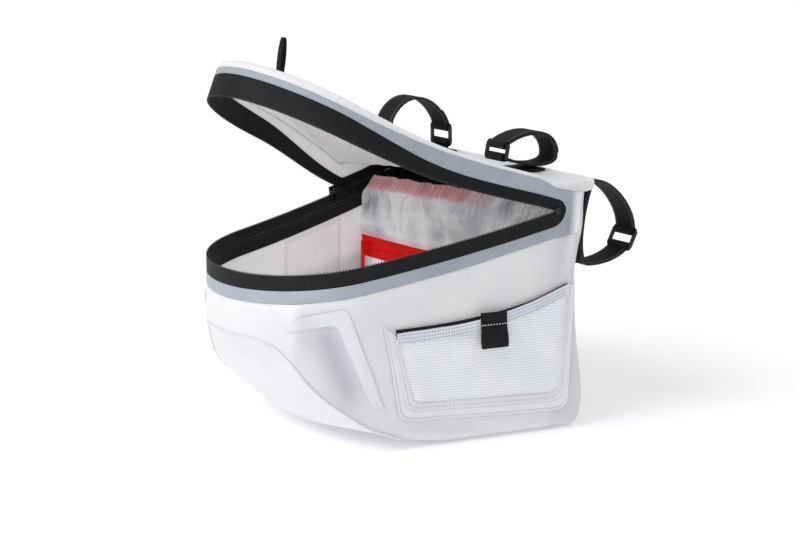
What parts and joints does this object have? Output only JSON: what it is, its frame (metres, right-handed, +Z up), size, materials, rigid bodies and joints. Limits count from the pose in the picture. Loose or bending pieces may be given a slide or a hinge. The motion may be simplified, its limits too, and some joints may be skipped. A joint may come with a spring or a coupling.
{
  "type": "handlebar bag",
  "caption": "Open white handlebar bag with a round nose, zipped lid tray, side mesh pockets, inner zipped organiser and black strap loops.",
  "frame": {"origin": "on the underside of the flat base, midway across the bag and 60 mm ahead of its rear edge", "axes": "+Z up, the nose towards -Y, the rear wall that faces the bicycle towards +Y, X across the bag"},
  "size_m": [0.2324, 0.2916, 0.2877],
  "materials": {
    "coated_shell": "white coated ripstop, slightly see-through, satin",
    "ripstop_band": "blue-grey ripstop with a fine grid",
    "zip_tape": "black coated zip tape",
    "webbing": "black woven webbing",
    "moulded_plastic": "black moulded plastic",
    "mesh_net": "white knitted mesh",
    "reflective_stripe": "pale reflective film",
    "thin_cloth": "thin white ripstop, see-through",
    "red_tape": "red zip tape",
    "zip_metal": "dark bright metal"
  },
  "bodies": {
    "root": {"base_panel": "coated_shell", "body_wall": "coated_shell", "rear_panel": "coated_shell", "body_band": "ripstop_band", "body_zip_tape": "zip_tape", "lid_panel": "coated_shell", "lid_edge": "coated_shell", "lid_band": "ripstop_band", "lid_zip_tape": "zip_tape", "lid_loop": "webbing", "corner_patch_right": "ripstop_band", "corner_patch_left": "ripstop_band", "pocket_frame_right": "coated_shell", "pocket_frame_left": "coated_shell", "pocket_mesh_right": "mesh_net", "pocket_mesh_left": "mesh_net", "pocket_hem_right": "coated_shell", "pocket_hem_left": "coated_shell", "pocket_tab_right": "webbing", "pocket_tab_left": "webbing", "stripe_right": "reflective_stripe", "stripe_left": "reflective_stripe", "zip_stop_right": "moulded_plastic", "zip_stop_left": "moulded_plastic", "zip_slider": "zip_metal", "zip_pull": "zip_metal", "organiser_upper": "thin_cloth", "organiser_zip": "red_tape", "organiser_lower": "thin_cloth", "organiser_slider": "red_tape", "organiser_pull": "red_tape", "bar_pad_right": "webbing", "bar_pad_left": "webbing", "bar_strap_right": "webbing", "bar_strap_left": "webbing", "bar_buckle_right": "moulded_plastic", "bar_buckle_left": "moulded_plastic", "head_strap": "webbing", "head_buckle": "moulded_plastic"}
  },
  "joints": []
}
